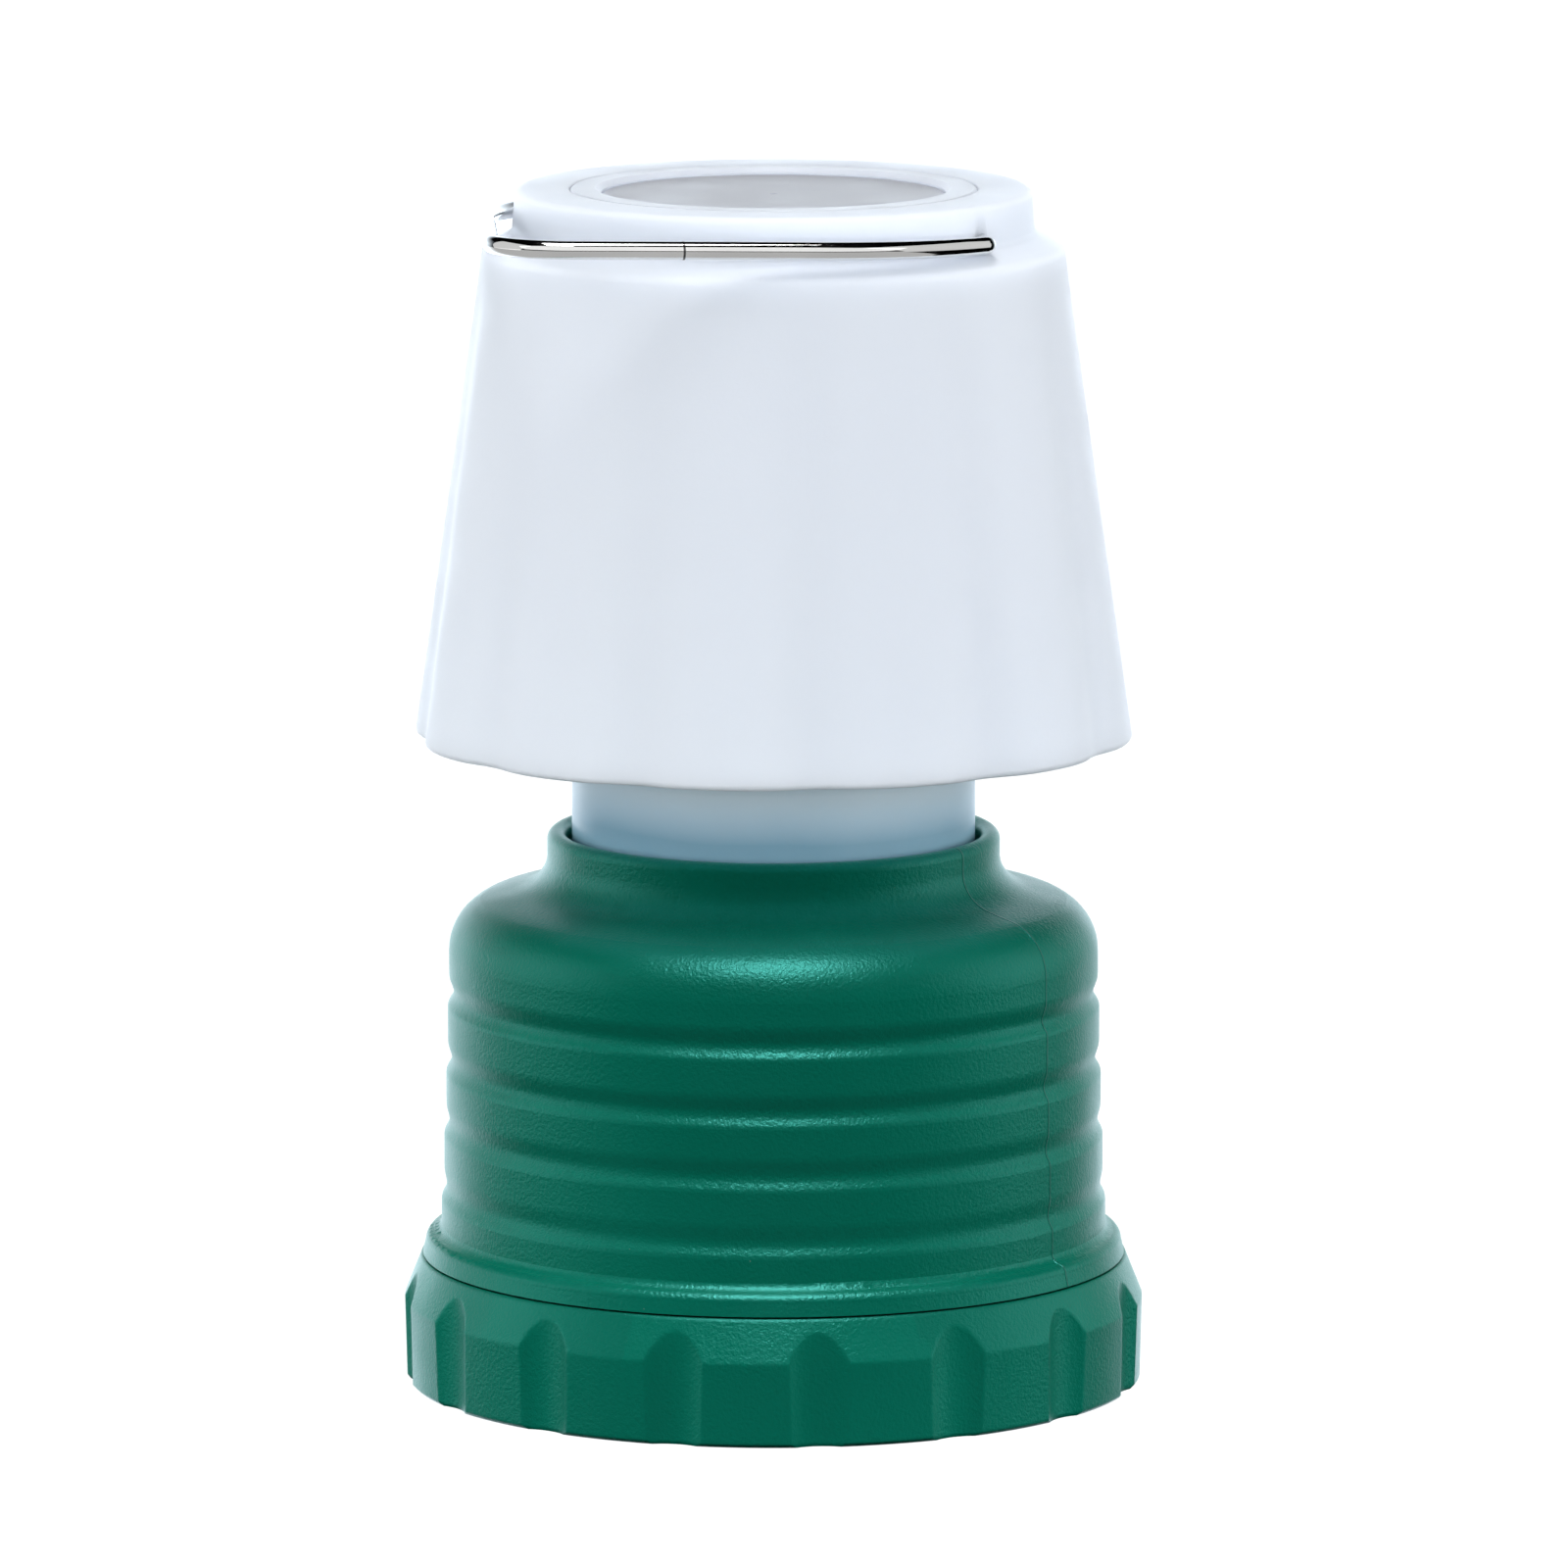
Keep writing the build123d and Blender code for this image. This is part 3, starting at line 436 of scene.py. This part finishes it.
def bright_wire(name):
    """Bright plated wire with faint drawn lines and the butt seam of its ends."""
    shader = Shader(name)
    plated = shader.mix(shader.clouds(45.0, detail=2.0), (0.80, 0.80, 0.79), (0.90, 0.90, 0.89))
    x, y = shader.axis("X"), shader.axis("Y")
    run_x, run_y = WIRE_RUN
    along = shader.math("ADD", shader.math("MULTIPLY", x, run_x),
                        shader.math("MULTIPLY", y, run_y))
    out = shader.math("SUBTRACT", shader.math("MULTIPLY", y, run_x),
                      shader.math("MULTIPLY", x, run_y))
    gap = shader.math("ABSOLUTE", shader.math("SUBTRACT", along, WIRE_SEAM))
    seam = shader.math("MULTIPLY", shader.spread(gap, 0.0001, 0.00022, 1.0, 0.0),
                       shader.math("GREATER_THAN", out, WIRE_RUN_BEYOND))
    shader.colour(shader.mix(seam, plated, (0.12, 0.12, 0.12)))
    shader.rough(shader.clouds(600.0, 0.05, 0.10))
    shader.bump(shader.noise(1500.0, 2.0), 0.000004, 0.3)
    return shader.set(Metallic=1.0)


def rubber(name, colour=(0.018, 0.018, 0.02)):
    lighter = shaded(colour, 1.6)
    return plastic(name, lighter, colour, rough=(0.6, 0.75), grain=2600.0, grain_depth=0.00005)


def circuit_green(name):
    """Solder mask with a faint pattern of tracks under it."""
    shader = Shader(name)
    tracks = shader.node("ShaderNodeTexBrick")
    tracks.inputs["Scale"].default_value = 260.0
    tracks.inputs["Mortar Size"].default_value = 0.03
    shader.link(shader.place, tracks.inputs["Vector"])
    mask = shader.mix(shader.clouds(40.0, detail=2.0), (0.008, 0.10, 0.035), (0.012, 0.14, 0.05))
    copper = shader.math("MULTIPLY", tracks.outputs["Fac"], 0.5)
    shader.colour(shader.mix(copper, mask, (0.02, 0.22, 0.09)))
    shader.rough(shader.clouds(300.0, 0.22, 0.34, detail=2.0))
    shader.bump(tracks.outputs["Fac"], 0.00002, 0.5)
    return shader.set(Coat_Weight=0.3)


def build_materials():
    """One material for each CAD node, by the node's name."""
    made = {
        "battery_cover": green_plastic("green_cover", soft_edges=RING_SOFT_EDGE),
        "body_housing": green_plastic("green_housing", seam=True),
        "shade": milky_plastic("milky_shade"),
        # painted shade: a darker copy of the shade's milky colour, which tones down the light on
        # the cap's top
        "top_cap": milky_plastic("milky_cap_painted_shade", (0.70, 0.755, 0.86)),
        "cap_disc": milky_plastic("cap_insert", (0.75, 0.79, 0.99)),
        "globe": frosted_globe("frosted_globe"),
        "bail_handle": bright_wire("bright_wire"),
        "cover_seal": rubber("seal_rubber"),
        "globe_gasket": rubber("seal_rubber_flat"),
        "power_button": rubber("button_rubber", (0.02, 0.02, 0.022)),
        "button_bezel": plastic("black_plastic", (0.030, 0.030, 0.032), (0.022, 0.022, 0.024)),
        "battery_carrier": plastic("inner_plastic", (0.075, 0.08, 0.085), (0.055, 0.06, 0.065)),
        "cell_1": plastic("cell_jacket", (0.035, 0.037, 0.045), (0.026, 0.028, 0.034),
                          (0.18, 0.28), Coat_Weight=0.4),
        "driver_board": circuit_green("circuit_board"),
        "reflector": metal("reflector_metal", (0.90, 0.90, 0.90), (0.06, 0.12)),
        "heat_sink": metal("cast_aluminium", (0.66, 0.67, 0.68), (0.35, 0.5)),
        "led_board": metal("board_aluminium", (0.78, 0.78, 0.79), (0.3, 0.42)),
        "led_chip": plastic("led_phosphor", (0.85, 0.62, 0.10), (0.78, 0.55, 0.08),
                            (0.12, 0.2), Coat_Weight=1.0),
        "switch_leads": plastic("lead_sleeve", (0.45, 0.02, 0.015), (0.38, 0.015, 0.012),
                                (0.3, 0.4)),
        "return_strip": metal("nickel_strip", (0.70, 0.68, 0.62), (0.2, 0.32),
                              (1.0, 1.0, 0.05)),
        "carrier_screws": metal("zinc_plated", (0.62, 0.63, 0.65), (0.25, 0.4)),
    }
    alike = {
        "button_bezel": ("switch_plunger", "switch_body", "driver_parts"),
        "battery_carrier": ("contact_deck", "contact_disc"),
        "cell_1": ("cell_2", "cell_3"),
        "driver_board": ("switch_board",),
        "return_strip": ("lower_contacts", "upper_contacts", "lower_springs", "upper_spring"),
        "carrier_screws": ("pedestal_screws", "cap_screws", "switch_screws", "bail_clips"),
    }
    for source, names in alike.items():
        for name in names:
            made[name] = made[source]
    return {name: shader.material for name, shader in made.items()}


MATERIALS = build_materials()


def dress_cad_nodes():
    """Give every CAD node its material."""
    for name, item in NODES.items():
        if not item.material_slots:
            item.data.materials.append(MATERIALS[name])
        for material_slot in item.material_slots:
            material_slot.material = MATERIALS[name]


# ---- shade; a pair is a radius and a height ----
SHADE_BOTTOM = (0.05145, 0.0930)     # the wall's outer lower edge
SHADE_SHOULDER = (0.0416, 0.1620)
SHADE_WALL = 0.0020
INSIDE_WALL = 0.0680                 # height over which the inner wall's slope is taken
INSIDE_TOP = 0.1612
NECK_FOOT = (0.0372, 0.1656)
NECK_RADIUS = 0.03675
NECK_INSIDE = (0.0346, 0.1640)       # the neck's inner lower edge
NECK_CEILING = 0.16805
TOP_HEIGHT = 0.1718
CAP_SEAT = (0.02905, 0.1693)         # the step that the cap stands on
CAP_BORE = 0.0273
LONGEST_ROW = 0.0025
FILLET_STEPS = 6

PLEATS = 12
FIRST_VALLEY = radians(15.0)
SHADE_COLUMNS = PLEATS * 36
PLEAT_START_DEPTH = 0.0003           # reached within the top sixth of the wall
PLEAT_GROWTH = 0.0011                # added on the way down to the lower edge
PLEATS_BEGIN = SHADE_SHOULDER[1] + 0.001
PLAIN_ABOVE = 0.160                  # no pleats above this inside the neck's foot

PIVOT_HEIGHT = 0.1665
PIVOT_HOLE_RADIUS = 0.00145
PIVOT_HOLE_FROM, PIVOT_HOLE_TO = 0.0335, 0.0395            # the cutter's ends, from the axis


def pleat(angle, depth):
    """How far the wall is drawn in: broad round lobes between narrow valleys."""
    wave = cos(0.5 * PLEATS * (angle - FIRST_VALLEY)) ** 2
    return depth * (0.72 * wave ** 3 + 0.28 * wave)


def pleated(angle, r, z):
    """The wall's radius at that angle and height, where it would be r without pleats."""
    if r < NECK_FOOT[0] and z > PLAIN_ABOVE:
        return r
    share = (PLEATS_BEGIN - z) / (PLEATS_BEGIN - SHADE_BOTTOM[1])
    down = min(1.0, max(0.0, share))
    return r - pleat(angle, PLEAT_START_DEPTH * min(1.0, 6 * down) + PLEAT_GROWTH * down)


def rounded_corner(corner, before, after, radius):
    """Points of a fillet at corner between the directions to its two neighbours."""
    corner, before, after = Vector(corner), Vector(before), Vector(after)
    first, last = (before - corner).normalized(), (after - corner).normalized()
    half = first.angle(last) / 2
    reach = radius / tan(half)
    centre = corner + (first + last).normalized() * (radius / sin(half))
    start, end = corner + first * reach - centre, corner + last * reach - centre
    points = []
    for step in range(FILLET_STEPS + 1):
        direction = start.lerp(end, step / FILLET_STEPS).normalized()
        points.append(tuple(centre + direction * radius))
    return points


def filleted(corners):
    """Closed outline from rows of (corner, fillet radius)."""
    outline = []
    for index, (corner, radius) in enumerate(corners):
        if radius > 0.0:
            before, after = corners[index - 1][0], corners[(index + 1) % len(corners)][0]
            outline += rounded_corner(corner, before, after, radius)
        else:
            outline.append(corner)
    return outline


def subdivided(outline, longest):
    """Split a closed outline's long sides, so that the wall has rows enough for the pleats."""
    result = []
    for index, (r, z) in enumerate(outline):
        next_r, next_z = outline[(index + 1) % len(outline)]
        pieces = max(1, int(hypot(next_r - r, next_z - z) / longest))
        for piece in range(pieces):
            share = piece / pieces
            result.append((r + (next_r - r) * share, z + (next_z - z) * share))
    return result


def shade_profile():
    """Outline of the shade and its neck, up the outside and down the inside."""
    bottom, bottom_height = SHADE_BOTTOM
    shoulder, shoulder_height = SHADE_SHOULDER
    slope = (bottom - shoulder) / (shoulder_height - bottom_height)
    inside = bottom - SHADE_WALL
    corners = [
        (SHADE_BOTTOM, 0.0008),
        ((shoulder - 0.0002, shoulder_height + 0.0014), 0.0018),
        (NECK_FOOT, 0.0014),
        ((NECK_RADIUS, TOP_HEIGHT), 0.0011),
        ((CAP_SEAT[0], TOP_HEIGHT), 0.0003),
        (CAP_SEAT, 0.0),
        ((CAP_BORE, CAP_SEAT[1]), 0.0),
        ((CAP_BORE, NECK_CEILING), 0.0004),
        ((NECK_INSIDE[0], NECK_CEILING), 0.0005),
        (NECK_INSIDE, 0.0012),
        ((inside - slope * INSIDE_WALL, INSIDE_TOP), 0.0020),
        ((inside, bottom_height), 0.0008),
    ]
    return subdivided(filleted(corners), LONGEST_ROW)


def turned_mesh(name, outline, columns, reshape):
    """Closed solid turned about Z from an outline, with reshape(angle, r, z) -> r."""
    mesh = bmesh.new()
    rows = []
    for r, z in outline:
        row = []
        for column in range(columns):
            angle = 2 * pi * column / columns
            radius = reshape(angle, r, z)
            row.append(mesh.verts.new((radius * cos(angle), radius * sin(angle), z)))
        rows.append(row)
    for index, row in enumerate(rows):
        above = rows[(index + 1) % len(rows)]
        for column in range(columns):
            beside = (column + 1) % columns
            mesh.faces.new((row[column], row[beside], above[beside], above[column]))
    bmesh.ops.recalc_face_normals(mesh, faces=mesh.faces)
    for face in mesh.faces:
        face.smooth = True
    return add_mesh(name, mesh)


def pivot_cutter(side):
    """Rod along X where the bail's pivot goes through the neck, on the side -1 or 1."""
    mesh = bmesh.new()
    bmesh.ops.create_cone(mesh, cap_ends=True, segments=48, radius1=PIVOT_HOLE_RADIUS,
                          radius2=PIVOT_HOLE_RADIUS, depth=PIVOT_HOLE_TO - PIVOT_HOLE_FROM)
    cutter = add_mesh(f"cut_{side}", mesh)
    cutter.location = (side * (PIVOT_HOLE_FROM + PIVOT_HOLE_TO) / 2, 0.0, PIVOT_HEIGHT)
    cutter.rotation_euler = (0.0, radians(90), 0.0)
    return cutter


def cut_with(target, cutters):
    """Cut the cutters out of target's mesh, and remove them."""
    bpy.context.view_layer.update()
    for cutter in cutters:
        modifier = target.modifiers.new("cut", "BOOLEAN")
        modifier.operation = "DIFFERENCE"
        modifier.solver = "EXACT"
        modifier.object = cutter
    depsgraph = bpy.context.evaluated_depsgraph_get()
    result = bpy.data.meshes.new_from_object(target.evaluated_get(depsgraph))
    target.modifiers.clear()
    target.data = result
    for cutter in cutters:
        bpy.data.objects.remove(cutter)


def build_shade():
    shade = turned_mesh("pleated_shade", shade_profile(), SHADE_COLUMNS, pleated)
    cut_with(shade, [pivot_cutter(side) for side in (-1, 1)])
    shade.data.materials.clear()
    shade.data.materials.append(MATERIALS["shade"])
    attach(shade, "lantern")
    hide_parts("shade")
    return shade


# ---- floor ----
FLOOR_REACH = 6.0


def add_floor():
    """Near-white sweep with a light of its own; neither gloss nor matt surfaces pick it up."""
    mesh = bmesh.new()
    bmesh.ops.create_grid(mesh, x_segments=4, y_segments=4, size=FLOOR_REACH)
    floor = add_mesh("floor", mesh)
    floor.visible_glossy = False
    floor.visible_diffuse = False
    shader = Shader("pale_floor")
    shader.colour(shader.mix(shader.noise(3.0, 2.0), (0.93, 0.935, 0.94), (0.95, 0.955, 0.96)))
    shader.set(Roughness=0.8, Specular_IOR_Level=0.0)
    floor.data.materials.append(shader.material)
    return floor


add_camera()
add_world()
dress_cad_nodes()
add_lights(add_floor(), build_shade())
bpy.context.scene.view_settings.view_transform = "Standard"
